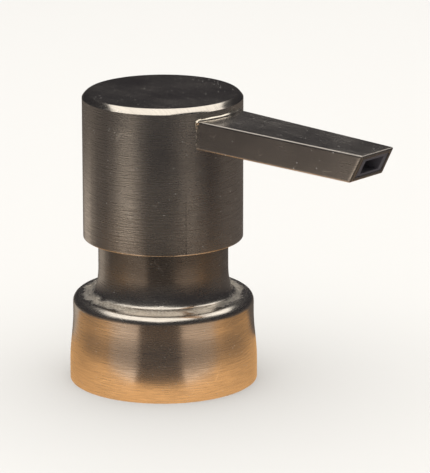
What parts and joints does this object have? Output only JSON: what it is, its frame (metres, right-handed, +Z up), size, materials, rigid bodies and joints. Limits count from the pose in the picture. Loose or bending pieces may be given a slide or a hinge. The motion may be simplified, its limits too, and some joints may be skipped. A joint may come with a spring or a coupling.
{
  "type": "soap pump dispenser",
  "caption": "Bottle-top soap pump with a brushed metal head, tapered square spout, flared screw collar, sprung piston, valves and dip tube.",
  "frame": {"origin": "centre of the collar's lower rim, in the plane that the rim rests on", "axes": "+Z up along the pump's axis and stem, +X towards the spout's outlet, +Y to the left of the spout seen from behind the head; the pump body and dip tube reach below z = 0 into the bottle"},
  "size_m": [0.0641, 0.033, 0.1314],
  "materials": {
    "brushed_head": "satin, brushed round the head",
    "brushed_disc": "satin, fine straight brushing",
    "brushed_spout": "satin, brushed along the spout",
    "brushed_collar": "satin, brushed round the collar",
    "black_plastic": "moulded, semi-matte",
    "white_plastic": "moulded, semi-matte",
    "soft_plastic": "waxy, slightly cloudy",
    "tube_plastic": "extruded, cloudy",
    "foam": "matte closed-cell foam",
    "black_rubber": "matte",
    "spring_steel": "drawn wire, bright",
    "ball_steel": "polished"
  },
  "bodies": {
    "pump": {"pump_body": "white_plastic", "chaplet": "white_plastic", "stem_wiper": "soft_plastic", "ball_retainer": "white_plastic", "dip_tube": "tube_plastic", "bottle_gasket": "foam", "return_spring": "spring_steel"},
    "collar": {"closure": "white_plastic", "collar_shell": "brushed_collar", "neck_bush": "white_plastic"},
    "plunger": {"stem": "white_plastic", "stem_o_ring": "black_rubber", "piston_seat": "white_plastic"},
    "piston": {"piston": "soft_plastic"},
    "head": {"head_top_disc": "brushed_disc", "head_sleeve": "brushed_head", "spout_tube": "brushed_spout", "nozzle_liner": "black_plastic", "actuator_core": "white_plastic"},
    "ball": {"inlet_ball": "ball_steel"}
  },
  "joints": [
    {"name": "head_press", "type": "slide", "parent": "pump", "child": "plunger", "axis": [0, 0, -1], "range_m": [0, 0.0092], "stiffness_N_per_m": 1500, "springref_m": -0.008, "deforming": ["return_spring"]},
    {"name": "head_turn", "type": "hinge", "parent": "plunger", "child": "head", "pos_m": [0, 0, 0.036], "axis": [0, 0, 1], "continuous": true},
    {"name": "collar_turn", "type": "hinge", "parent": "pump", "child": "collar", "pos_m": [0, 0, 0], "axis": [0, 0, 1], "continuous": true},
    {"name": "piston_slip", "type": "slide", "parent": "plunger", "child": "piston", "axis": [0, 0, 1], "range_m": [0, 0.001]},
    {"name": "ball_lift", "type": "slide", "parent": "pump", "child": "ball", "axis": [0, 0, 1], "range_m": [0, 0.0015]}
  ]
}
